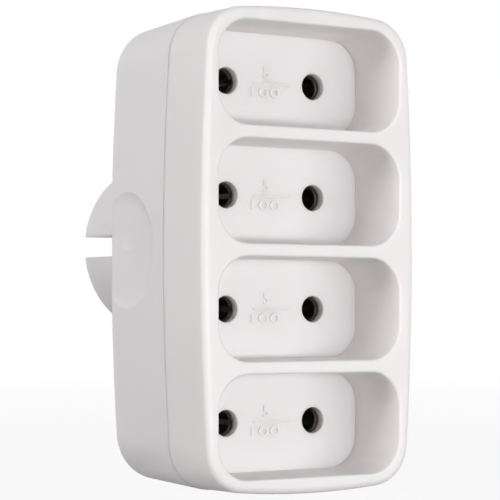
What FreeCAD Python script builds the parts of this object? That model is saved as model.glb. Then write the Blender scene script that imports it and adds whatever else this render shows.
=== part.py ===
import FreeCAD, Part
import math
import os
import re

import Sketcher

# Driving sizes in millimetres, and drafts and tilts in degrees
SIZES = {
    # Sockets in the front face
    "socket_rows": 4,
    "socket_pitch": 20.75,
    "pin_spacing": 19.0,
    "recess_width": 39.0,
    "recess_height": 18.5,
    "recess_corner": 6.3,
    "recess_draft": 0.8,
    "recess_lip": 0.4,
    "floor_setback": 0.2,
    "floor_thickness": 1.8,
    "hole_radius": 2.45,
    # Housing shells
    "side_rim": 3.55,
    "end_rim": 3.175,
    "side_bow": 520.0,
    "end_bow": 157.0,
    "corner_radius": 8.5,
    "front_corner": 7.4,
    "rear_corner": 9.3,
    "front_depth": 13.6,
    "rear_depth": 20.4,
    "front_draft": 0.8,
    "rear_draft": 1.6,
    "front_edge": 1.1,
    "rear_edge": 0.8,
    "shell_wall": 2.0,
    "rear_wall": 1.8,
    "joint_gap": 0.45,
    "joint_inset": 0.7,
    "joint_edge": 0.2,
    "lip_width": 0.7,
    "lip_rise": 0.12,
    "spigot_clearance": 0.15,
    # Finger scoops in the rear shell's sides
    "scoop_radius": 11.5,
    "scoop_setback": 15.3,
    "scoop_rise": 0.5,
    "scoop_sink": 0.75,
    "scoop_tilt": 2.0,
    "scoop_floor_bow": 200.0,
    "scoop_floor": 8.5,
    "scoop_round": 5.0,
    "scoop_wall_angle": 42.0,
    "scoop_reach": 4.0,
    "scoop_backing": 1.2,
    "scoop_border": 1.0,
    # Contour plug body on the rear face
    "plug_rise": 1.8,
    "plug_radius": 17.0,
    "plug_length": 21.0,
    "plug_edge": 0.6,
    "plug_wall": 3.0,
    "plug_end_wall": 3.0,
    "notch_width": 4.0,
    "notch_floor": 8.0,
    "notch_wall": 1.8,
    "guide_width": 5.0,
    "guide_depth": 1.5,
    # Plug pins
    "pin_radius": 2.4,
    "pin_length": 19.0,
    "pin_tip": 1.6,
    "pin_clearance": 0.05,
    "seat_radius": 2.6,
    "collar_radius": 3.6,
    "collar_thickness": 1.5,
    "tail_radius": 1.6,
    "stake_radius": 2.3,
    "stake_thickness": 0.8,
    # Plate that holds the pins, and its screws
    "plate_thickness": 3.0,
    "plate_clearance": 0.2,
    "plate_screw_side": 6.5,
    "plate_screw_rise": 8.5,
    "plate_screw_radius": 1.0,
    "plate_screw_bite": 3.4,
    "plate_screw_head": 1.9,
    "plate_screw_head_height": 1.2,
    "plate_boss_radius": 2.4,
    # Contact sleeves, rolled from sheet with a flat tab
    "contact_gap": 0.3,
    "contact_length": 10.0,
    "sleeve_radius": 2.05,
    "sheet_thickness": 0.5,
    "slit_width": 1.0,
    "sleeve_lead": 0.25,
    "tab_height": 6.4,
    # Bus bars and their seats
    "bar_thickness": 0.8,
    "bar_width": 8.0,
    "bar_end": 2.5,
    "seat_width": 3.3,
    "seat_height": 3.0,
    "seat_slot": 2.0,
    "seat_clearance": 0.1,
    # Rivets through the tabs and the bars
    "rivet_rise": 4.4,
    "rivet_radius": 1.0,
    "rivet_clearance": 0.05,
    "rivet_head_radius": 1.5,
    "rivet_head_height": 0.5,
    # Straps from the plug pins to the bus bars
    "strap_thickness": 0.8,
    "strap_width": 4.5,
    "strap_offset": 1.1,
    "strap_side": 4.6,
    "strap_gap": 0.9,
    "strap_lap": 9.0,
    "strap_bend": 0.5,
    "eye_half_width": 3.0,
    "eye_reach": 3.4,
    # Screws that hold the two shells together
    "screw_radius": 1.45,
    "screw_clearance": 0.05,
    "screw_head_radius": 2.8,
    "screw_head_height": 2.0,
    "screw_head_edge": 0.6,
    "drive_reach": 1.7,
    "drive_width": 0.6,
    "drive_depth": 1.2,
    "screw_sink": 4.0,
    "screw_seat": 1.6,
    "screw_bite": 9.0,
    "screw_tip_room": 1.0,
    "sink_radius": 3.1,
    "front_boss_radius": 3.0,
    "rear_boss_radius": 4.6,
    # Relief behind each socket for the tip of an inserted pin
    "relief_radius": 2.7,
    "relief_depth": 0.8,
}

# Places that follow from the sizes, measured from the joint between the shells and the middle row
HALF_WIDTH = "(recess_width / 2 + side_rim)"
TOP_ROW = "((socket_rows - 1) * socket_pitch / 2)"
HALF_HEIGHT = f"({TOP_ROW} + recess_height / 2 + end_rim)"
CAVITY_DEPTH = "(rear_depth - rear_wall)"
RECESS_DEPTH = "(front_depth + floor_setback)"
FLOOR_BACK = "(floor_setback + floor_thickness)"
CONTACT_MIDDLE = f"({FLOOR_BACK} + contact_gap + contact_length / 2)"
CONTACT_END = f"({FLOOR_BACK} + contact_gap + contact_length)"
BAR_BACK = f"({CONTACT_MIDDLE} + bar_width / 2)"
BAR_FACE = "(pin_spacing / 2 + sleeve_radius + sheet_thickness)"
BOSS_SEAT = "(rear_depth - screw_sink - screw_seat)"
JOINT_PLACE = "(-rear_depth - plug_length)"

# Places inside the plug body, measured from its end face
COLLAR_BACK = "(plug_end_wall + collar_thickness)"
PLATE_BACK = f"({COLLAR_BACK} + plate_thickness)"
STRAP_BACK = f"({PLATE_BACK} + strap_thickness)"

FRONT = "front"
REAR = "rear"
TOLERANCE = 0.01

doc = FreeCAD.newDocument("multi_socket_adapter")
sheet = doc.addObject("Spreadsheet::Sheet", "sizes")
for line, (alias, size) in enumerate(SIZES.items(), start=1):
    sheet.set(f"A{line}", alias)
    sheet.set(f"B{line}", str(size))
    sheet.setAlias(f"B{line}", alias)
doc.recompute()


def linked(text):
    """The same sum with each size read from the sheet."""
    return re.sub(r"\b(?!(?:sqrt|tan|sin|cos)\()[a-z]\w*", r"sizes.\g<0>", text)


def value(text):
    """The number that a sum of sizes comes to."""
    return float(sheet.evalExpression(linked(text)))


def new_body(name, x="0", y="0", z="0"):
    """A sub-part with its place bound to the sizes."""
    body = doc.addObject("PartDesign::Body", name)
    body.Label = name
    for axis, text in zip("xyz", (x, y, z)):
        body.setExpression(f".Placement.Base.{axis}", linked(text))
    return body


def housing_body(name):
    """A sub-part measured from the joint between the shells, at the middle of the housing."""
    return new_body(name, y=JOINT_PLACE, z="-plug_rise")


def origin_plane(body, role):
    return next(item for item in body.Origin.OriginFeatures if item.Role == role)


def new_sketch(body, name, role, x="0", y="0", z="0"):
    """A sketch on one of the body's own planes, moved by its attachment."""
    sketch = body.newObject("Sketcher::SketchObject", name)
    sketch.AttachmentSupport = [(origin_plane(body, role), "")]
    sketch.MapMode = "FlatFace"
    for axis, text in zip("xyz", (x, y, z)):
        sketch.setExpression(f".AttachmentOffset.Base.{axis}", linked(text))
    return sketch


def front_sketch(body, name, depth="0", rise="0"):
    """A sketch seen from the front, at a depth behind the body's own origin."""
    return new_sketch(body, name, "XZ_Plane", y=rise, z=f"-({depth})")


def dimension(sketch, kind, text, *where):
    """One driving dimension of a sketch, bound to the sizes."""
    index = sketch.addConstraint(Sketcher.Constraint(kind, *where, value(text)))
    sketch.setExpression(f"Constraints[{index}]", linked(text))


def place_point(sketch, geometry, point, x, y):
    """Fix a point of the sketch at two distances from its origin."""
    for kind, axis, text in (("DistanceX", -2, x), ("DistanceY", -1, y)):
        if abs(value(text)) < TOLERANCE:
            sketch.addConstraint(Sketcher.Constraint("PointOnObject", geometry, point, axis))
        else:
            dimension(sketch, kind, text, -1, 1, geometry, point)


def arc_between(first, last, radius):
    """The short arc that turns left from one point to another."""
    chord = last - first
    square = chord.cross(FreeCAD.Vector(0, 0, -1)).normalize()
    centre = (first + last) / 2 + square * math.sqrt(radius**2 - chord.Length**2 / 4)
    circle = Part.Circle(centre, FreeCAD.Vector(0, 0, 1), radius)
    return Part.ArcOfCircle(circle, circle.parameter(first), circle.parameter(last))


def profile(sketch, corners, arcs=None):
    """A closed outline through dimensioned corners. Side n is straight, or an arc when arcs names
    its radius and which way it turns."""
    arcs = arcs or {}
    points = [FreeCAD.Vector(value(x), value(y), 0) for x, y in corners]
    sides = []
    for index, first in enumerate(points):
        last = points[(index + 1) % len(points)]
        radius, turn = arcs.get(index, (None, "left"))
        ends = (1, 2) if turn == "left" else (2, 1)
        if radius is None:
            side = Part.LineSegment(first, last)
        elif turn == "left":
            side = arc_between(first, last, value(radius))
        else:
            side = arc_between(last, first, value(radius))
        sides.append((sketch.addGeometry(side), *ends))
        if radius is not None:
            dimension(sketch, "Radius", radius, sides[-1][0])
    for index, (side, start, end) in enumerate(sides):
        following, begin, _ = sides[(index + 1) % len(sides)]
        sketch.addConstraint(Sketcher.Constraint("Coincident", side, end, following, begin))
        place_point(sketch, side, start, *corners[index])


def circles(sketch, places, radius):
    """Equal circles at several places."""
    for x, y in places:
        centre = FreeCAD.Vector(value(x), value(y), 0)
        index = sketch.addGeometry(Part.Circle(centre, FreeCAD.Vector(0, 0, 1), value(radius)))
        dimension(sketch, "Radius", radius, index)
        place_point(sketch, index, 3, x, y)


def rectangle(sketch, left, right, bottom, top):
    profile(sketch, [(left, bottom), (right, bottom), (right, top), (left, top)])


def cross(sketch, rise, reach, half):
    """An upright cross at a height, with arms of one reach and half width."""
    turns = [(reach, half), (half, half), (half, reach)]
    corners = []
    for x_sign, y_sign, steps in (("", "", turns), ("-", "", turns[::-1]), ("-", "-", turns), ("", "-", turns[::-1])):
        corners += [(f"{x_sign}({x})", f"{rise} + {y_sign}({y})") for x, y in steps]
    profile(sketch, corners)


def rounded_rectangle(sketch, width, height, corner):
    """A rectangle with round corners about the sketch's origin."""
    wide, tall = f"({width} / 2)", f"({height} / 2)"
    in_x, in_y = f"({wide} - {corner})", f"({tall} - {corner})"
    corners = [
        (f"-{in_x}", f"-{tall}"), (in_x, f"-{tall}"), (wide, f"-{in_y}"), (wide, in_y),
        (in_x, tall), (f"-{in_x}", tall), (f"-{wide}", in_y), (f"-{wide}", f"-{in_y}"),
    ]
    profile(sketch, corners, {side: (corner, "left") for side in (1, 3, 5, 7)})


def outline(sketch, inset="0", corner="corner_radius"):
    """The housing's outline, four bowed sides joined by tangent round corners, moved in by an inset."""
    side_radius = f"side_bow - {inset}"
    end_radius = f"end_bow - {inset}"
    corner_radius = f"{corner} - {inset}"
    side_centre = value(f"side_bow - {HALF_WIDTH}")
    end_centre = value(f"end_bow - {HALF_HEIGHT}")
    side_reach = value(f"side_bow - {corner}")
    end_reach = value(f"end_bow - {corner}")
    # A corner's centre lies at both reaches from the centres of the two bows that it joins
    apart = math.hypot(side_centre, end_centre)
    along = (side_reach**2 - end_reach**2 + apart**2) / (2 * apart)
    across = math.sqrt(side_reach**2 - along**2)
    corner_x = -side_centre + (along * side_centre + across * end_centre) / apart
    corner_z = (across * side_centre - along * end_centre) / apart
    low = math.atan2(corner_z, corner_x + side_centre)
    high = math.atan2(corner_z + end_centre, corner_x)
    for turn, sign in ((0, 1), (math.pi, -1)):
        for x, z, radius, start, end in (
            (-sign * side_centre, 0, side_radius, -low, low),
            (sign * corner_x, sign * corner_z, corner_radius, low, high),
            (0, -sign * end_centre, end_radius, high, math.pi - high),
            (-sign * corner_x, sign * corner_z, corner_radius, math.pi - high, math.pi - low),
        ):
            circle = Part.Circle(FreeCAD.Vector(x, z, 0), FreeCAD.Vector(0, 0, 1), value(radius))
            index = sketch.addGeometry(Part.ArcOfCircle(circle, turn + start, turn + end))
            dimension(sketch, "Radius", radius, index)
    for index in range(8):
        sketch.addConstraint(Sketcher.Constraint("Tangent", index, 2, (index + 1) % 8, 1))
    for index, sign in ((0, "-"), (4, "")):
        sketch.addConstraint(Sketcher.Constraint("PointOnObject", index, 3, -1))
        dimension(sketch, "DistanceX", f"{sign}(side_bow - {HALF_WIDTH})", -1, 1, index, 3)
    for index, sign in ((2, "-"), (6, "")):
        sketch.addConstraint(Sketcher.Constraint("PointOnObject", index, 3, -2))
        dimension(sketch, "DistanceY", f"{sign}(end_bow - {HALF_HEIGHT})", -1, 1, index, 3)


def notched_disc(sketch, inset="0", notch_inset="0"):
    """The plug body's round section with a notch in each side, moved in by an inset."""
    radius = f"(plug_radius - {inset})"
    half = f"(notch_width / 2 + {notch_inset})"
    floor = f"(notch_floor - {notch_inset})"
    meeting = f"sqrt({radius} * {radius} - {half} * {half})"
    corners = [
        (meeting, half), (f"-{meeting}", half), (f"-{floor}", half), (f"-{floor}", f"-{half}"),
        (f"-{meeting}", f"-{half}"), (meeting, f"-{half}"), (floor, f"-{half}"), (floor, half),
    ]
    profile(sketch, corners, {0: (radius, "left"), 4: (radius, "left")})


def taper_between(body, kind, name, first, last):
    """Material or a cut between two of the housing's outlines, each a depth, an inset and a corner."""
    sections = []
    for end, (depth, inset, corner) in (("near", first), ("far", last)):
        section = front_sketch(body, f"{name}_{end}_outline", depth)
        outline(section, inset, f"({corner} + {inset})")
        sections.append(section)
    feature = body.newObject(f"PartDesign::{kind}", name)
    feature.Profile = sections[0]
    feature.Sections = sections[1:]
    feature.Ruled = True
    return feature


def pad(body, name, sketch, length, towards, taper="0"):
    """Material from a front sketch, towards the front or the rear."""
    feature = body.newObject("PartDesign::Pad", name)
    feature.Profile = sketch
    feature.Reversed = towards == REAR
    feature.setExpression("Length", linked(length))
    feature.setExpression("TaperAngle", linked(taper))
    return feature


def pocket(body, name, sketch, length, towards, taper="0"):
    """A cut from a front sketch, towards the front or the rear."""
    feature = body.newObject("PartDesign::Pocket", name)
    feature.Profile = sketch
    feature.Reversed = towards == FRONT
    feature.setExpression("Length", linked(length))
    feature.setExpression("TaperAngle", linked(taper))
    return feature


def revolve(body, kind, name, sketch):
    """A full turn about the sketch's horizontal axis, added or cut."""
    feature = body.newObject(f"PartDesign::{kind}", name)
    feature.Profile = sketch
    feature.ReferenceAxis = (sketch, ["H_Axis"])
    feature.Angle = 360
    return feature


def dress(body, kind, name, base, text, test):
    """A fillet or chamfer on the edges that pass a test."""
    doc.recompute()
    edges = [f"Edge{n}" for n, edge in enumerate(base.Shape.Edges, start=1) if test(edge)]
    feature = body.newObject(f"PartDesign::{kind}", name)
    feature.Base = (base, edges)
    feature.setExpression("Radius" if kind == "Fillet" else "Size", linked(text))
    return feature


def at_depth(edge, depth):
    """Whether an edge lies in the plane at a depth behind the body's origin."""
    box = edge.BoundBox
    return abs(box.YMin - value(depth)) < TOLERANCE and abs(box.YMax - value(depth)) < TOLERANCE


def stack_upwards(body, name, sketch, features):
    """Repeat features once for each socket row, upwards from the lowest."""
    pattern = body.newObject("PartDesign::LinearPattern", name)
    pattern.Originals = features
    pattern.Direction = (sketch, ["V_Axis"])
    pattern.setExpression("Length", linked("(socket_rows - 1) * socket_pitch"))
    pattern.setExpression("Occurrences", linked("socket_rows"))
    body.Tip = pattern
    return pattern


def mirror_sides(body, name, features):
    """Repeat features on the other side of the body's middle."""
    mirror = body.newObject("PartDesign::Mirrored", name)
    mirror.Originals = features
    mirror.MirrorPlane = (origin_plane(body, "YZ_Plane"), [""])
    body.Tip = mirror
    return mirror


def pin_pair():
    """The two places of a socket's pins, side by side."""
    return [("-pin_spacing / 2", "0"), ("pin_spacing / 2", "0")]


def plug_pin_pair():
    """The two places of the plug's own pins, one above the other."""
    return [("0", "pin_spacing / 2"), ("0", "-pin_spacing / 2")]


def screw_pair():
    """The two places of the screws that hold the shells together."""
    return [("0", TOP_ROW), ("0", f"-{TOP_ROW}")]


def plate_screw_pair():
    """The two places of the plate's screws, opposite each other about the plug's axis."""
    return [("plate_screw_side", "plate_screw_rise"), ("-plate_screw_side", "-plate_screw_rise")]


# Front cover with the socket recesses, moulded in one piece with its spigot and screw bosses
def front_cover():
    body = housing_body("front_cover")

    joint = ("-joint_gap", "0", "corner_radius")
    lip_front = ("-joint_gap - lip_width", "lip_rise", "(corner_radius - lip_rise)")
    face = ("-front_depth", "(lip_rise + front_depth * tan(front_draft))", "front_corner")
    taper_between(body, "AdditiveLoft", "lip", joint, lip_front)
    rim = taper_between(body, "AdditiveLoft", "rim", lip_front, face)
    dress(body, "Fillet", "front_edge", rim, "front_edge", lambda edge: at_depth(edge, "-front_depth"))

    land_outline = front_sketch(body, "land_outline", "-joint_gap")
    outline(land_outline, "joint_inset")
    pad(body, "land", land_outline, "joint_gap", REAR)

    spigot_outline = front_sketch(body, "spigot_outline", "-joint_gap")
    outline(spigot_outline, "(shell_wall + spigot_clearance)")
    pad(body, "spigot", spigot_outline, f"{FLOOR_BACK} + joint_gap", REAR)

    recess_outline = front_sketch(body, "recess_outline", "-front_depth", f"-{TOP_ROW}")
    rounded_rectangle(recess_outline, "recess_width", "recess_height", "recess_corner")
    recess = pocket(body, "recess", recess_outline, RECESS_DEPTH, REAR, "-recess_draft")

    hole_circles = front_sketch(body, "hole_circles", "-front_depth", f"-{TOP_ROW}")
    circles(hole_circles, pin_pair(), "hole_radius")
    holes = pocket(body, "holes", hole_circles, f"{RECESS_DEPTH} + floor_thickness", REAR)
    sockets = stack_upwards(body, "sockets", recess_outline, [recess, holes])

    def at_mouth(edge):
        box = edge.BoundBox
        inside = max(abs(box.ZMin), abs(box.ZMax)) < value(f"{TOP_ROW} + recess_height / 2") + TOLERANCE
        inside = inside and max(abs(box.XMin), abs(box.XMax)) < value("recess_width / 2") + TOLERANCE
        return inside and at_depth(edge, "-front_depth")

    dress(body, "Fillet", "recess_lips", sockets, "recess_lip", at_mouth)

    boss_circles = front_sketch(body, "boss_circles", FLOOR_BACK)
    circles(boss_circles, screw_pair(), "front_boss_radius")
    pad(body, "bosses", boss_circles, f"{BOSS_SEAT} - {FLOOR_BACK}", REAR)

    pilot_circles = front_sketch(body, "pilot_circles", BOSS_SEAT)
    circles(pilot_circles, screw_pair(), "screw_radius + screw_clearance")
    pocket(body, "pilots", pilot_circles, "screw_bite + screw_tip_room", FRONT)
    return body


# Rear housing, moulded in one piece with the contour plug body
def rear_housing():
    body = housing_body("rear_housing")
    shell(body)
    plug_body(body)
    screw_seats(body)
    bar_seats(body)
    finger_scoops(body)
    return body


def shell(body):
    """The tapered tray behind the joint."""
    joint = ("0", "0", "corner_radius")
    back = ("rear_depth", "(rear_depth * tan(rear_draft))", "rear_corner")
    tray = taper_between(body, "AdditiveLoft", "tray", back, joint)
    tray = dress(body, "Fillet", "rear_edge", tray, "rear_edge", lambda edge: at_depth(edge, "rear_depth"))
    dress(body, "Fillet", "tray_joint_edge", tray, "joint_edge", lambda edge: at_depth(edge, "0"))

    mouth = ("0", "shell_wall", "(corner_radius - shell_wall)")
    floor = (CAVITY_DEPTH, f"(shell_wall + {CAVITY_DEPTH} * tan(rear_draft))", "(rear_corner - shell_wall)")
    taper_between(body, "SubtractiveLoft", "cavity", floor, mouth)

    relief_circles = front_sketch(body, "relief_circles", CAVITY_DEPTH, f"-{TOP_ROW}")
    circles(relief_circles, pin_pair(), "relief_radius")
    relief = pocket(body, "relief", relief_circles, "relief_depth", REAR)
    stack_upwards(body, "reliefs", relief_circles, [relief])


def plug_body(body):
    """The hollow plug body with its side notches, guide grooves, pin holes and plate bosses."""
    plug_outline = front_sketch(body, "plug_outline", CAVITY_DEPTH, "plug_rise")
    notched_disc(plug_outline)
    barrel = pad(body, "barrel", plug_outline, "rear_wall + plug_length", REAR)

    def at_round_end(edge):
        is_round = edge.Curve.TypeId == "Part::GeomCircle"
        return is_round and at_depth(edge, "rear_depth + plug_length")

    dress(body, "Fillet", "plug_edge", barrel, "plug_edge", at_round_end)

    hollow_outline = front_sketch(body, "hollow_outline", CAVITY_DEPTH, "plug_rise")
    notched_disc(hollow_outline, "plug_wall", "notch_wall")
    pocket(body, "hollow", hollow_outline, "rear_wall + plug_length - plug_end_wall", REAR)

    guide_outlines = front_sketch(body, "guide_outlines", "rear_depth", "plug_rise")
    for low, high in (("plug_radius - guide_depth", "plug_radius + guide_depth"),
                      ("-plug_radius - guide_depth", "-plug_radius + guide_depth")):
        rectangle(guide_outlines, "-guide_width / 2", "guide_width / 2", low, high)
    pocket(body, "guides", guide_outlines, "plug_length", REAR)

    pin_circles = front_sketch(body, "pin_circles", "rear_depth", "plug_rise")
    circles(pin_circles, plug_pin_pair(), "seat_radius + pin_clearance")
    pocket(body, "pin_holes", pin_circles, "plug_length", REAR)

    end_wall = "rear_depth + plug_length - plug_end_wall"
    boss_circles = front_sketch(body, "plate_boss_circles", end_wall, "plug_rise")
    circles(boss_circles, plate_screw_pair(), "plate_boss_radius")
    pad(body, "plate_bosses", boss_circles, "collar_thickness", FRONT)

    boss_top = f"{end_wall} - collar_thickness"
    pilot_circles = front_sketch(body, "plate_pilot_circles", boss_top, "plug_rise")
    circles(pilot_circles, plate_screw_pair(), "plate_screw_radius + screw_clearance")
    pocket(body, "plate_pilots", pilot_circles, "plate_screw_bite", REAR)


def screw_seats(body):
    """The counterbored bosses that the cover's screws pass through."""
    boss_circles = front_sketch(body, "seat_boss_circles", BOSS_SEAT)
    circles(boss_circles, screw_pair(), "rear_boss_radius")
    pad(body, "seat_bosses", boss_circles, "screw_seat + screw_sink - rear_wall / 2", REAR)

    shank_circles = front_sketch(body, "shank_circles", BOSS_SEAT)
    circles(shank_circles, screw_pair(), "screw_radius + screw_clearance")
    pocket(body, "shank_holes", shank_circles, "screw_seat + screw_sink", REAR)

    sink_circles = front_sketch(body, "sink_circles", "rear_depth")
    circles(sink_circles, screw_pair(), "sink_radius")
    pocket(body, "sinks", sink_circles, "screw_sink", FRONT)


def bar_seats(body):
    """Four slotted posts that hold the bus bars on edge."""
    slot_left = f"({BAR_FACE} - seat_clearance)"
    slot_right = f"({BAR_FACE} + bar_thickness + seat_clearance)"
    post_left = f"({BAR_FACE} + bar_thickness / 2 - seat_width / 2)"
    post_right = f"({BAR_FACE} + bar_thickness / 2 + seat_width / 2)"
    post_outlines = front_sketch(body, "post_outlines", BAR_BACK)
    cheek_outlines = front_sketch(body, "cheek_outlines", BAR_BACK)
    for sign in ("", "-"):
        bottom = f"{sign}socket_pitch - seat_height / 2"
        top = f"{sign}socket_pitch + seat_height / 2"
        rectangle(post_outlines, post_left, post_right, bottom, top)
        rectangle(cheek_outlines, post_left, slot_left, bottom, top)
        rectangle(cheek_outlines, slot_right, post_right, bottom, top)
    posts = pad(body, "posts", post_outlines, f"{CAVITY_DEPTH} - {BAR_BACK}", REAR)
    cheeks = pad(body, "cheeks", cheek_outlines, "seat_slot", FRONT)
    mirror_sides(body, "posts_both_sides", [posts, cheeks])


def finger_scoops(body):
    """A round dish in each side, deepest at its front, with the wall thickened behind it."""
    inner_face = f"{HALF_WIDTH} - shell_wall - scoop_backing"
    backing_outline = new_sketch(body, "backing_outline", "YZ_Plane", z=inner_face)
    front = "scoop_setback - scoop_radius - scoop_border"
    low = "scoop_rise - scoop_radius - scoop_border"
    high = "scoop_rise + scoop_radius + scoop_border"
    rectangle(backing_outline, front, CAVITY_DEPTH, low, high)
    backing = body.newObject("PartDesign::Pad", "backing")
    backing.Profile = backing_outline
    backing.setExpression("Length", linked("scoop_backing + shell_wall / 2"))

    floor = f"{HALF_WIDTH} - scoop_sink - scoop_setback * tan(rear_draft)"
    scoop_section = new_sketch(body, "scoop_section", "XY_Plane", floor, "scoop_setback", "scoop_rise")
    scoop_section.AttachmentOffset.Rotation = FreeCAD.Rotation(FreeCAD.Vector(0, 0, 1), 0)
    scoop_section.setExpression(".AttachmentOffset.Rotation.Angle", linked("-scoop_tilt"))
    floor_rise = "(scoop_floor_bow - sqrt(scoop_floor_bow * scoop_floor_bow - scoop_floor * scoop_floor))"
    wall_rise = f"({floor_rise} + scoop_round * (1 - cos(scoop_wall_angle)))"
    wall_radius = "(scoop_floor + scoop_round * sin(scoop_wall_angle))"
    corners = [
        ("0", "0"),
        ("scoop_reach", "0"),
        ("scoop_reach", f"{wall_radius} + (scoop_reach - {wall_rise}) / tan(scoop_wall_angle)"),
        (wall_rise, wall_radius),
        (floor_rise, "scoop_floor"),
    ]
    profile(scoop_section, corners, {3: ("scoop_round", "left"), 4: ("scoop_floor_bow", "left")})
    scoop = revolve(body, "Groove", "scoop", scoop_section)
    mirror_sides(body, "scoops_both_sides", [backing, scoop])


# Plug pins, turned with a collar and staked over behind the strap
def plug_pin(name, sign):
    body = new_body(name, z=f"{sign}pin_spacing / 2")
    section = new_sketch(body, "pin_section", "YZ_Plane")
    corners = [
        (f"-{STRAP_BACK} - stake_thickness", "0"),
        ("pin_length", "0"),
        ("pin_length", "pin_radius"),
        ("0", "pin_radius"),
        ("0", "seat_radius"),
        ("-plug_end_wall", "seat_radius"),
        ("-plug_end_wall", "collar_radius"),
        (f"-{COLLAR_BACK}", "collar_radius"),
        (f"-{COLLAR_BACK}", "tail_radius"),
        (f"-{STRAP_BACK}", "tail_radius"),
        (f"-{STRAP_BACK}", "stake_radius"),
        (f"-{STRAP_BACK} - stake_thickness", "stake_radius"),
    ]
    profile(section, corners)
    turned = revolve(body, "Revolution", "turned", section)

    def at_tip(edge):
        return at_depth(edge, "pin_length") and edge.Length > TOLERANCE

    dress(body, "Fillet", "tip", turned, "pin_tip", at_tip)
    return body


# Plate that presses the pins' collars against the plug body's end wall
def pin_retaining_plate():
    body = new_body("pin_retaining_plate")
    plate_outline = front_sketch(body, "plate_outline", f"-{COLLAR_BACK}")
    notched_disc(plate_outline, "(plug_wall + plate_clearance)", "(notch_wall + plate_clearance)")
    pad(body, "plate", plate_outline, "plate_thickness", FRONT)

    tail_circles = front_sketch(body, "tail_circles", f"-{COLLAR_BACK}")
    circles(tail_circles, plug_pin_pair(), "tail_radius + pin_clearance")
    pocket(body, "tail_holes", tail_circles, "plate_thickness", FRONT)

    screw_circles = front_sketch(body, "screw_circles", f"-{COLLAR_BACK}")
    circles(screw_circles, plate_screw_pair(), "plate_screw_radius + screw_clearance")
    pocket(body, "screw_holes", screw_circles, "plate_thickness", FRONT)
    return body


# Screws of the retaining plate
def plate_screws():
    body = new_body("plate_screws")
    shank_circles = front_sketch(body, "shank_circles", f"-{PLATE_BACK}")
    circles(shank_circles, plate_screw_pair(), "plate_screw_radius")
    pad(body, "shanks", shank_circles, "plate_thickness + plate_screw_bite - screw_clearance", REAR)

    head_circles = front_sketch(body, "head_circles", f"-{PLATE_BACK}")
    circles(head_circles, plate_screw_pair(), "plate_screw_head")
    pad(body, "heads", head_circles, "plate_screw_head_height", FRONT)
    return body


# Straps bent from flat strip, with an eye on the pin's tail and a lap on the bus bar
def pin_strap(name, turn):
    body = new_body(name)
    body.Placement.Rotation = FreeCAD.Rotation(FreeCAD.Vector(0, 1, 0), turn)
    joint = "(rear_depth + plug_length)"
    inner = "-strap_side"
    outer = "(-strap_side - strap_thickness)"
    near = f"(-{BAR_FACE} - bar_thickness)"
    far = f"({near} - strap_thickness)"
    cross_front = f"({CONTACT_END} + strap_gap - {joint})"
    cross_back = f"({cross_front} + strap_thickness)"
    lap_end = f"({cross_front} - strap_lap)"

    strip_outline = new_sketch(body, "strip_outline", "XY_Plane", z="strap_offset")
    corners = [
        ("eye_half_width", f"-{PLATE_BACK}"),
        (outer, f"-{PLATE_BACK}"),
        (outer, cross_back),
        (far, cross_back),
        (far, lap_end),
        (near, lap_end),
        (near, cross_front),
        (inner, cross_front),
        (inner, f"-{STRAP_BACK}"),
        ("eye_half_width", f"-{STRAP_BACK}"),
    ]
    profile(strip_outline, corners)
    strip = body.newObject("PartDesign::Pad", "strip")
    strip.Profile = strip_outline
    strip.setExpression("Length", linked("strap_width"))

    def at_corner(edge, places):
        box = edge.BoundBox
        for x, y in places:
            if math.hypot(box.Center.x - value(x), box.Center.y - value(y)) < TOLERANCE:
                return box.ZLength > TOLERANCE
        return False

    insides = [(outer, cross_back), (near, cross_front), (inner, f"-{STRAP_BACK}")]
    outsides = [(outer, f"-{PLATE_BACK}"), (far, cross_back), (inner, cross_front)]
    bent = dress(body, "Fillet", "inner_bends", strip, "strap_bend", lambda edge: at_corner(edge, insides))
    around = "strap_bend + strap_thickness"
    dress(body, "Fillet", "outer_bends", bent, around, lambda edge: at_corner(edge, outsides))

    eye_outline = front_sketch(body, "eye_outline", f"-{PLATE_BACK}")
    rectangle(eye_outline, "-eye_half_width", "eye_half_width", "strap_offset", "pin_spacing / 2 + eye_reach")
    pad(body, "eye", eye_outline, "strap_thickness", FRONT)

    eye_circle = front_sketch(body, "eye_circle", f"-{PLATE_BACK}")
    circles(eye_circle, [("0", "pin_spacing / 2")], "tail_radius + pin_clearance")
    pocket(body, "eye_hole", eye_circle, "strap_thickness", FRONT)
    return body


# Bus bars, brass strips on edge that join the contacts of one side
def bus_bar(name, sign):
    x = f"{sign}({BAR_FACE} + bar_thickness / 2)"
    body = new_body(name, x, f"{JOINT_PLACE} + {CONTACT_MIDDLE}", "-plug_rise")
    bar_outline = front_sketch(body, "bar_outline", "-bar_width / 2")
    half_length = f"({TOP_ROW} + rivet_rise + bar_end)"
    rectangle(bar_outline, "-bar_thickness / 2", "bar_thickness / 2", f"-{half_length}", half_length)
    pad(body, "bar", bar_outline, "bar_width", REAR)

    hole_circle = new_sketch(body, "hole_circle", "YZ_Plane", y=f"rivet_rise - {TOP_ROW}", z="bar_thickness / 2")
    circles(hole_circle, [("0", "0")], "rivet_radius + rivet_clearance")
    hole = body.newObject("PartDesign::Pocket", "rivet_hole")
    hole.Profile = hole_circle
    hole.setExpression("Length", linked("bar_thickness"))
    stack_upwards(body, "rivet_holes", hole_circle, [hole])
    return body


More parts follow.
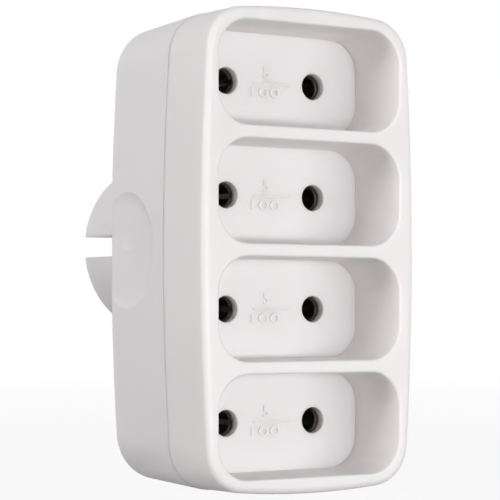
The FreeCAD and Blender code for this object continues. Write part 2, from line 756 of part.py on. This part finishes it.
# Contact sleeves, rolled from one strip whose end stands off as a tab on the bus bar
def contact_sleeve(name, sign, row):
    z = f"{TOP_ROW} - {row} * socket_pitch - plug_rise"
    body = new_body(name, f"{sign}pin_spacing / 2", f"{JOINT_PLACE} + {CONTACT_MIDDLE}", z)
    body.Placement.Rotation = FreeCAD.Rotation(FreeCAD.Vector(0, 0, 1), 180 if sign else 0)
    outside = "(sleeve_radius + sheet_thickness)"
    slit = "(slit_width / 2)"
    slit_outside = f"sqrt({outside} * {outside} - {slit} * {slit})"
    slit_inside = f"sqrt(sleeve_radius * sleeve_radius - {slit} * {slit})"
    tab_foot = f"sqrt({outside} * {outside} - sleeve_radius * sleeve_radius)"
    strip_section = front_sketch(body, "strip_section", "-contact_length / 2")
    corners = [
        (f"-{slit_outside}", f"-{slit}"),
        (outside, "0"),
        (outside, "tab_height"),
        ("sleeve_radius", "tab_height"),
        ("sleeve_radius", tab_foot),
        (f"-{slit_outside}", slit),
        (f"-{slit_inside}", slit),
        ("sleeve_radius", "0"),
        (f"-{slit_inside}", f"-{slit}"),
    ]
    arcs = {
        0: (outside, "left"),
        4: (outside, "left"),
        6: ("sleeve_radius", "right"),
        7: ("sleeve_radius", "right"),
    }
    profile(strip_section, corners, arcs)
    rolled = pad(body, "rolled", strip_section, "contact_length", REAR)

    def at_mouth(edge):
        is_round = edge.Curve.TypeId == "Part::GeomCircle"
        at_an_end = edge.BoundBox.YLength < TOLERANCE
        return is_round and at_an_end and abs(edge.Curve.Radius - value("sleeve_radius")) < TOLERANCE

    dress(body, "Chamfer", "leads", rolled, "sleeve_lead", at_mouth)

    hole_circle = new_sketch(body, "hole_circle", "YZ_Plane", y="rivet_rise", z=outside)
    circles(hole_circle, [("0", "0")], "rivet_radius + rivet_clearance")
    hole = body.newObject("PartDesign::Pocket", "rivet_hole")
    hole.Profile = hole_circle
    hole.setExpression("Length", linked("sheet_thickness"))
    return body


# Rivets through the sleeves' tabs and the bus bars
def contact_rivets():
    body = new_body("contact_rivets", y=f"{JOINT_PLACE} + {CONTACT_MIDDLE}", z="-plug_rise")
    tab_face = f"({BAR_FACE} - sheet_thickness)"
    bar_back = f"({BAR_FACE} + bar_thickness)"
    pieces = (
        ("shanks", tab_face, "rivet_radius", "sheet_thickness + bar_thickness"),
        ("inner_heads", f"{tab_face} - rivet_head_height", "rivet_head_radius", "rivet_head_height"),
        ("outer_heads", bar_back, "rivet_head_radius", "rivet_head_height"),
    )
    features = []
    for name, x, radius, length in pieces:
        piece_circles = new_sketch(body, f"{name}_circles", "YZ_Plane", z=x)
        rows = [f"{TOP_ROW} - {row} * socket_pitch + rivet_rise" for row in range(SIZES["socket_rows"])]
        circles(piece_circles, [("0", row) for row in rows], radius)
        feature = body.newObject("PartDesign::Pad", name)
        feature.Profile = piece_circles
        feature.setExpression("Length", linked(length))
        features.append(feature)
    mirror_sides(body, "rivets_both_sides", features)
    return body


# Screws that hold the two shells together, driven from the rear
def cover_screws():
    body = housing_body("cover_screws")
    shank_circles = front_sketch(body, "shank_circles", f"{BOSS_SEAT} + screw_seat")
    circles(shank_circles, screw_pair(), "screw_radius")
    pad(body, "shanks", shank_circles, "screw_seat + screw_bite", FRONT)

    head_circles = front_sketch(body, "head_circles", f"{BOSS_SEAT} + screw_seat")
    circles(head_circles, screw_pair(), "screw_head_radius")
    heads = pad(body, "heads", head_circles, "screw_head_height", REAR)
    top = f"{BOSS_SEAT} + screw_seat + screw_head_height"
    dress(body, "Fillet", "head_edges", heads, "screw_head_edge", lambda edge: at_depth(edge, top))

    drive_crosses = front_sketch(body, "drive_crosses", top)
    for _, z in screw_pair():
        cross(drive_crosses, z, "drive_reach", "drive_width / 2")
    pocket(body, "drives", drive_crosses, "drive_depth", FRONT)
    return body


parts = [
    front_cover(),
    rear_housing(),
    plug_pin("plug_pin_upper", ""),
    plug_pin("plug_pin_lower", "-"),
    pin_retaining_plate(),
    plate_screws(),
    pin_strap("pin_strap_upper", 0),
    pin_strap("pin_strap_lower", 180),
    bus_bar("bus_bar_left", "-"),
    bus_bar("bus_bar_right", ""),
    contact_rivets(),
    cover_screws(),
]
for row in range(SIZES["socket_rows"]):
    parts.append(contact_sleeve(f"contact_sleeve_{row + 1}_left", "-", row))
    parts.append(contact_sleeve(f"contact_sleeve_{row + 1}_right", "", row))
doc.recompute()

for item in doc.Objects:
    if "Invalid" in item.State or "Error" in item.State:
        raise RuntimeError(f"{item.Label} did not build: {item.State}")
for part in parts:
    if part.Shape.isNull() or not part.Shape.isValid():
        raise RuntimeError(f"{part.Label} is not a valid shape")

os.makedirs("parts", exist_ok=True)
for part in parts:
    part.Shape.exportStep(f"parts/{part.Label}.step")
    print(part.Label, len(part.Shape.Solids), round(part.Shape.Volume, 1))
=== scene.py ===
import math

import bpy
from mathutils import Matrix, Vector


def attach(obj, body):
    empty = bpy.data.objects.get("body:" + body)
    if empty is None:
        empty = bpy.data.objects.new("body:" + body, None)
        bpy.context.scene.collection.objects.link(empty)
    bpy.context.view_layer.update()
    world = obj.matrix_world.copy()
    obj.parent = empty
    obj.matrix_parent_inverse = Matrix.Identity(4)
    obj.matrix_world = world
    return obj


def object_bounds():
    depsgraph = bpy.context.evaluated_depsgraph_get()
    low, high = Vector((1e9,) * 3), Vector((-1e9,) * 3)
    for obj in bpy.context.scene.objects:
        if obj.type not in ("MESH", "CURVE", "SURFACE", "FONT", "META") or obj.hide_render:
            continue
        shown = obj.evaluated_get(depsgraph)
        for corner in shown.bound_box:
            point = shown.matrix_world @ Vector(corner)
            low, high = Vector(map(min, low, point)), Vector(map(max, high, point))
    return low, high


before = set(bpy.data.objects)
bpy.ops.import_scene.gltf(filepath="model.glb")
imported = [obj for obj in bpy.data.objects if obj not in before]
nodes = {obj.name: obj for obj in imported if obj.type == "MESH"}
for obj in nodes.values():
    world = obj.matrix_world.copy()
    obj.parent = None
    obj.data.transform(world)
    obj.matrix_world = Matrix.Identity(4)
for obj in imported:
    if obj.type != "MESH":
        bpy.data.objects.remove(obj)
cad_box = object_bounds()


# The view: a product photograph taken level, from the left of the socket face.
# The lens is raised a little on the sensor, as a shift, so that upright edges stay upright.
VIEW_FROM = (-0.196823, -0.342027, -0.012342)
VIEW_TURN = -32.606
LENS_MM = 140.5
LENS_RISE = 0.12

level_turn = (math.radians(90), 0, math.radians(VIEW_TURN))
bpy.ops.object.camera_add(location=VIEW_FROM, rotation=level_turn)
camera = bpy.context.object
camera.data.sensor_width = 36
camera.data.lens = LENS_MM
camera.data.shift_y = LENS_RISE
camera.data.clip_start = 0.01
bpy.context.scene.camera = camera


# The two shells, front_cover and rear_housing: injection-moulded white thermoplastic, a little warm.
# A fine spark-eroded mould surface gives the satin, and the melt's flow shades it very slightly.
# The shells are held together by the cover screws, so both have the same finish.
SHELL_PALE = (0.842, 0.816, 0.820, 1)
SHELL_DEEP = (0.822, 0.796, 0.800, 1)
SHELL_ROUGHNESS = 0.4
SHELL_RELIEF = 0.000006
SHELL_TRANSLUCENCE = 0.8
LIGHT_SPREAD = 0.002


class Signal:
    """A shader socket in Python arithmetic: an expression on Signals adds its Math nodes."""

    def __init__(self, tree, socket):
        self.tree = tree
        self.socket = socket

    def node(self, kind, settings, sockets, output=0):
        """Adds a node of a kind, set and fed as given, and gives the Signal of its output."""
        added = self.tree.nodes.new(kind)
        for name, setting in settings.items():
            setattr(added, name, setting)
        self.feed(added, sockets)
        return Signal(self.tree, added.outputs[output])

    def feed(self, node, sockets):
        """Links a node's sockets to Signals, or gives them plain values."""
        for name, value in sockets.items():
            if isinstance(value, Signal):
                self.tree.links.new(value.socket, node.inputs[name])
            else:
                node.inputs[name].default_value = value

    def calculated(self, operation, first, second):
        return self.node("ShaderNodeMath", {"operation": operation}, {0: first, 1: second})

    def __add__(self, other):
        return self.calculated("ADD", self, other)

    def __radd__(self, other):
        return self.calculated("ADD", other, self)

    def __mul__(self, other):
        return self.calculated("MULTIPLY", self, other)

    def __rmul__(self, other):
        return self.calculated("MULTIPLY", other, self)

    def stretched(self, x, y, z):
        """The same coordinates with each axis multiplied by its own number."""
        sockets = {0: self, 1: (x, y, z)}
        return self.node("ShaderNodeVectorMath", {"operation": "MULTIPLY"}, sockets)

    def noise(self, scale, detail):
        """Soft spots, as many to a metre as the scale says, and finer with more detail."""
        sockets = {"Vector": self, "Scale": scale, "Detail": detail}
        return self.node("ShaderNodeTexNoise", {}, sockets)

    def ramp(self, low, high):
        """0 below the low value, 1 above the high one, and straight between them."""
        sockets = {"Value": self, "From Min": low, "From Max": high}
        return self.node("ShaderNodeMapRange", {}, sockets)

    def tint(self, first, second):
        """A colour between two, by this Signal."""
        sockets = {0: self, 6: first, 7: second}
        return self.node("ShaderNodeMix", {"data_type": "RGBA"}, sockets, 2)

    def relief(self, distance, strength):
        """A normal raised by this Signal, as deep as the distance in metres."""
        sockets = {"Height": self, "Distance": distance, "Strength": strength}
        return self.node("ShaderNodeBump", {}, sockets)


def new_finish(name):
    """A material's shader, and the Signal of the piece's own coordinates in metres."""
    material = bpy.data.materials.new(name)
    material.use_nodes = True
    tree = material.node_tree
    shader = tree.nodes["Principled BSDF"]
    coordinates = tree.nodes.new("ShaderNodeTexCoord")
    return material, shader, Signal(tree, coordinates.outputs["Object"])


def give_finish(piece, material):
    """Puts a finish on all the material slots of a piece."""
    for held in piece.material_slots:
        held.material = material


def satin_finish(name, translucence):
    """The shells' satin white plastic, which lets a share of the light spread below its surface."""
    material, shader, place = new_finish(name)
    flow = place.stretched(1, 1, 0.6).noise(45, 3)
    sparks = place.noise(3200, 2)
    place.feed(shader, {
        "Base Color": flow.ramp(0.3, 0.7).tint(SHELL_DEEP, SHELL_PALE),
        "Roughness": SHELL_ROUGHNESS + place.noise(900, 3) * 0.1,
        "IOR": 1.5,
        "Normal": (sparks + flow * 0.5).relief(SHELL_RELIEF, 0.6),
        "Subsurface Weight": translucence,
        "Subsurface Radius": (1, 1, 1),
        "Subsurface Scale": LIGHT_SPREAD,
    })
    return material


satin_white = satin_finish("satin_white_moulding", SHELL_TRANSLUCENCE)
for name in ("front_cover", "rear_housing"):
    give_finish(nodes[name], satin_white)


# The raised figures in the middle of each recess: plain generic numbers, one over another.
# They are cut in the mould's core, so they stand proud of the floor in the cover's own plastic.
FIGURE_RISE = 0.00013
FIGURE_SEAT = 0.00004
FIGURE_HEIGHT = FIGURE_RISE + FIGURE_SEAT
BAR_ROUNDING = 0.00004
RECESS_FLOOR = -0.0412
RECESS_HEIGHTS = (0.029325, 0.008575, -0.012175, -0.032925)


def raised_text(words, left, right, bottom, top):
    """Words as a mesh that stands up from a recess floor, fitted between four edges."""
    bpy.ops.object.text_add()
    text = bpy.context.object
    text.data.body = words
    text.data.extrude = 0.05
    text.data.bevel_depth = 0.008
    text.data.bevel_resolution = 2
    bpy.ops.object.convert(target="MESH")
    corners = [Vector(corner) for corner in text.bound_box]
    low = Vector([min(corner[axis] for corner in corners) for axis in range(3)])
    high = Vector([max(corner[axis] for corner in corners) for axis in range(3)])
    width = (right - left) / (high.x - low.x)
    height = (top - bottom) / (high.y - low.y)
    depth = FIGURE_HEIGHT / (high.z - low.z)
    text.data.transform(Matrix.Translation(-low))
    text.data.transform(Matrix.Diagonal((width, height, depth, 1)))
    text.data.transform(Matrix.Rotation(math.radians(90), 4, "X"))
    text.data.transform(Matrix.Translation((left, RECESS_FLOOR + FIGURE_SEAT, bottom)))
    return text


def raised_bar(left, right, bottom, top):
    """A flat bar between the figures, with its outer edges rounded."""
    bpy.ops.mesh.primitive_cube_add(size=1)
    bar = bpy.context.object
    size = (right - left, FIGURE_HEIGHT, top - bottom)
    depth = RECESS_FLOOR + (FIGURE_SEAT - FIGURE_RISE) / 2
    middle = ((left + right) / 2, depth, (bottom + top) / 2)
    bar.data.transform(Matrix.Translation(middle) @ Matrix.Diagonal((*size, 1)))
    rounding = bar.modifiers.new("rounded_edges", "BEVEL")
    rounding.width = BAR_ROUNDING
    rounding.segments = 2
    bpy.ops.object.modifier_apply(modifier="rounded_edges")
    return bar


figure_white = satin_finish("satin_white_figures", 0.0)
bpy.ops.object.select_all(action="DESELECT")
upper_figure = raised_text("5", left=-0.00155, right=-0.00025, bottom=0.00092, top=0.00294)
lower_figures = raised_text("100", left=-0.00417, right=0.00219, bottom=-0.0025, top=-0.00084)
divider = raised_bar(left=-0.00374, right=0.00441, bottom=-0.00012, top=0.00013)
for piece in (upper_figure, lower_figures, divider):
    piece.select_set(True)
bpy.context.view_layer.objects.active = upper_figure
bpy.ops.object.join()
bpy.ops.object.shade_smooth_by_angle(angle=math.radians(35))
first_figures = bpy.context.object
for row, height in enumerate(RECESS_HEIGHTS, start=1):
    figures = first_figures.copy()
    figures.data = first_figures.data.copy()
    figures.name = f"raised_figures_{row}"
    figures.data.transform(Matrix.Translation((0, 0, height)))
    figures.data.materials.clear()
    figures.data.materials.append(figure_white)
    bpy.context.collection.objects.link(figures)
    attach(figures, "root")
bpy.data.objects.remove(first_figures)


# The plug pins: turned from brass rod and nickel-plated, with their ends rounded on the lathe.
# Each collar is trapped behind the plug body's end wall by the retaining plate.
NICKEL = (0.72, 0.69, 0.64, 1)
NICKEL_WORN = (0.66, 0.62, 0.55, 1)
NICKEL_ROUGHNESS = 0.2
RING_RELIEF = 0.000002

nickel_plate, shader, place = new_finish("turned_nickel_plate")
rings = place.stretched(60, 9000, 60).noise(1, 3)
smears = place.stretched(1, 0.35, 1).noise(420, 3)
place.feed(shader, {
    "Base Color": smears.ramp(0.35, 0.75).tint(NICKEL, NICKEL_WORN),
    "Metallic": 1.0,
    "Roughness": NICKEL_ROUGHNESS + smears * 0.12,
    "Normal": rings.relief(RING_RELIEF, 0.5),
})
for name in ("plug_pin_upper", "plug_pin_lower"):
    give_finish(nodes[name], nickel_plate)


# The contact sleeves: tinned brass strip rolled round a pin gauge, with a tab at the foot.
# The tab is riveted to a bus bar; the tin's colour is painted nearly black, as painted shade for the
# dark of the pin hole.
TIN_PAINTED_SHADE = (0.12, 0.11, 0.095, 1)
TIN_DEEPER_PAINTED_SHADE = (0.07, 0.063, 0.052, 1)
TIN_ROUGHNESS = 0.38
TIN_RELIEF = 0.000002

tin_with_painted_shade, shader, place = new_finish("tinned_strip_painted_shade")
rolled = place.stretched(1500, 1500, 90).noise(1, 3)
clouds = place.noise(500, 2)
place.feed(shader, {
    # Painted shade: both tin colours are far darker than tin, to stand in for the shade of the pin
    # hole.
    "Base Color": clouds.ramp(0.3, 0.7).tint(TIN_PAINTED_SHADE, TIN_DEEPER_PAINTED_SHADE),
    "Metallic": 1.0,
    "Roughness": TIN_ROUGHNESS + rolled * 0.16,
    "Normal": rolled.relief(TIN_RELIEF, 0.4),
})
for row in range(1, 5):
    for side in ("left", "right"):
        give_finish(nodes[f"contact_sleeve_{row}_{side}"], tin_with_painted_shade)


# The bus bars and the straps: half-hard brass strip, sheared and folded, with fine rolling lines.
# The bars lie in the rear housing's seats, and the straps are staked to the pins.
BRASS = (0.76, 0.57, 0.27, 1)
BRASS_DULL = (0.6, 0.43, 0.2, 1)
BRASS_ROUGHNESS = 0.28
LINE_RELIEF = 0.000003

strip_brass, shader, place = new_finish("rolled_brass_strip")
lines = place.stretched(2600, 2600, 60).noise(1, 3)
clouds = place.noise(260, 3)
place.feed(shader, {
    "Base Color": clouds.ramp(0.35, 0.7).tint(BRASS, BRASS_DULL),
    "Metallic": 1.0,
    "Roughness": BRASS_ROUGHNESS + clouds * 0.16,
    "Normal": lines.relief(LINE_RELIEF, 0.4),
})
for name in ("bus_bar_left", "bus_bar_right", "pin_strap_upper", "pin_strap_lower"):
    give_finish(nodes[name], strip_brass)


# The contact rivets: small brass rivets upset cold through the sleeves' tabs and the bars.
# The upset leaves their heads darker and rougher than the strip.
RIVET = (0.7, 0.5, 0.23, 1)
RIVET_DARK = (0.5, 0.34, 0.16, 1)
RIVET_ROUGHNESS = 0.34
DENT_RELIEF = 0.00002

upset_brass, shader, place = new_finish("upset_brass")
dents = place.noise(1300, 3)
place.feed(shader, {
    "Base Color": dents.ramp(0.35, 0.7).tint(RIVET, RIVET_DARK),
    "Metallic": 1.0,
    "Roughness": RIVET_ROUGHNESS + dents * 0.2,
    "Normal": dents.relief(DENT_RELIEF, 0.4),
})
give_finish(nodes["contact_rivets"], upset_brass)


# The retaining plate: a plain grey moulding that clamps both pins' collars in the plug body.
# Two small screws hold it, and it has the matt surface of an unpolished mould.
PLATE_GREY = (0.55, 0.55, 0.53, 1)
PLATE_DARK = (0.48, 0.48, 0.46, 1)
PLATE_ROUGHNESS = 0.5
GRAIN_RELIEF = 0.00001

matt_grey, shader, place = new_finish("matt_grey_moulding")
grain = place.noise(2200, 3)
place.feed(shader, {
    "Base Color": place.noise(160, 3).ramp(0.3, 0.7).tint(PLATE_GREY, PLATE_DARK),
    "Roughness": PLATE_ROUGHNESS + grain * 0.15,
    "Normal": grain.relief(GRAIN_RELIEF, 0.6),
})
give_finish(nodes["pin_retaining_plate"], matt_grey)


# The screws: thread-forming steel with a bright zinc plate, sunk beside the plug body.
# The cover screws draw the two shells together, and the plate screws hold the retaining plate.
ZINC = (0.62, 0.62, 0.64, 1)
ZINC_DULL = (0.5, 0.5, 0.51, 1)
ZINC_ROUGHNESS = 0.3
SPANGLE_RELIEF = 0.000006

zinc_plate, shader, place = new_finish("zinc_plated_steel")
spangle = place.noise(1500, 3)
place.feed(shader, {
    "Base Color": spangle.ramp(0.35, 0.65).tint(ZINC, ZINC_DULL),
    "Metallic": 1.0,
    "Roughness": ZINC_ROUGHNESS + spangle * 0.16,
    "Normal": spangle.relief(SPANGLE_RELIEF, 0.4),
})
for name in ("cover_screws", "plate_screws"):
    give_finish(nodes[name], zinc_plate)


# The floor that the adapter stands on is a white sweep: paper white far off; near by its glow is
# painted lower, as painted shade, and its own rendered shadow shows through.
# Soft lamps stand beside the camera, low on the right, on the left side and behind the adapter.
# They light the recesses down to their floors, and the white room fills in the rest.
FLOOR_SIZE = 6
FLOOR_PALE = (0.45, 0.45, 0.45, 1)
FLOOR_GLOW = 0.92
SHADOW_FROM = 0.12
SHADOW_TO = 0.6
WHITE = (1, 1, 1, 1)
FILL_LIGHT = 0.3
HOUSING_MIDDLE = Vector((0, -0.04, 0))

bpy.ops.object.select_all(action="DESELECT")
bpy.ops.mesh.primitive_plane_add(size=FLOOR_SIZE)
floor = bpy.context.object
floor.name = "studio_floor"
floor.data.transform(Matrix.Translation((0, 0, cad_box[0][2])))
sweep, shader, place = new_finish("studio_sweep")
shader.inputs["Base Color"].default_value = FLOOR_PALE
shader.inputs["Roughness"].default_value = 1.0
shader.inputs["Specular IOR Level"].default_value = 0.0


def straight_rays(tree):
    """1 for rays that come from the camera or from a mirror or a glass, else 0."""
    light_path = tree.nodes.new("ShaderNodeLightPath")
    kinds = ("Is Camera Ray", "Is Glossy Ray", "Is Transmission Ray")
    camera_ray, glossy_ray, clear_ray = [Signal(tree, light_path.outputs[kind]) for kind in kinds]
    return (camera_ray + glossy_ray + clear_ray).ramp(0, 1)


reach = place.node("ShaderNodeVectorMath", {"operation": "LENGTH"}, {0: place}, 1)
# Painted shade: the floor's glow drops from paper white to FLOOR_GLOW nearer the adapter than
# SHADOW_TO.
glow_with_painted_shade = FLOOR_GLOW + (1 - FLOOR_GLOW) * reach.ramp(SHADOW_FROM, SHADOW_TO)
seen_glow_with_painted_shade = straight_rays(sweep.node_tree) * glow_with_painted_shade
shaded = Signal(sweep.node_tree, shader.outputs["BSDF"])
glow = place.node("ShaderNodeEmission", {}, {"Color": WHITE, "Strength": 1.0})
place.feed(sweep.node_tree.nodes["Material Output"], {
    "Surface": place.node("ShaderNodeMixShader", {}, {0: seen_glow_with_painted_shade, 1: shaded, 2: glow}),
})
floor.data.materials.append(sweep)

world = bpy.data.worlds.new("studio_room")
bpy.context.scene.world = world
world.use_nodes = True
seen_room = straight_rays(world.node_tree)
seen_room.feed(world.node_tree.nodes["Background"], {
    "Color": WHITE,
    "Strength": FILL_LIGHT + (1 - FILL_LIGHT) * seen_room,
})


def soft_lamp(name, place, width, height, level):
    """A flat soft lamp that faces the adapter and lights it to a level of its own."""
    bpy.ops.object.light_add(type="AREA", location=place)
    lamp = bpy.context.object
    lamp.name = name
    lamp.visible_camera = False
    lamp.data.shape = "RECTANGLE"
    lamp.data.size = width
    lamp.data.size_y = height
    way = Vector(place) - HOUSING_MIDDLE
    lamp.data.energy = level * math.pi**2 * way.length_squared
    lamp.rotation_euler = way.to_track_quat("Z", "Y").to_euler()


soft_lamp("front_lamp", (-0.13, -0.68, 0), width=0.3, height=0.09, level=0.26)
soft_lamp("low_lamp", (0.09, -0.34, -0.034), width=0.3, height=0.016, level=0.42)
soft_lamp("side_lamp", (-0.72, -0.16, 0.2), width=0.2, height=0.15, level=0.43)
soft_lamp("back_lamp", (0.5, 0.7, 0.06), width=0.4, height=0.2, level=0.55)

bpy.context.scene.view_settings.view_transform = "Standard"
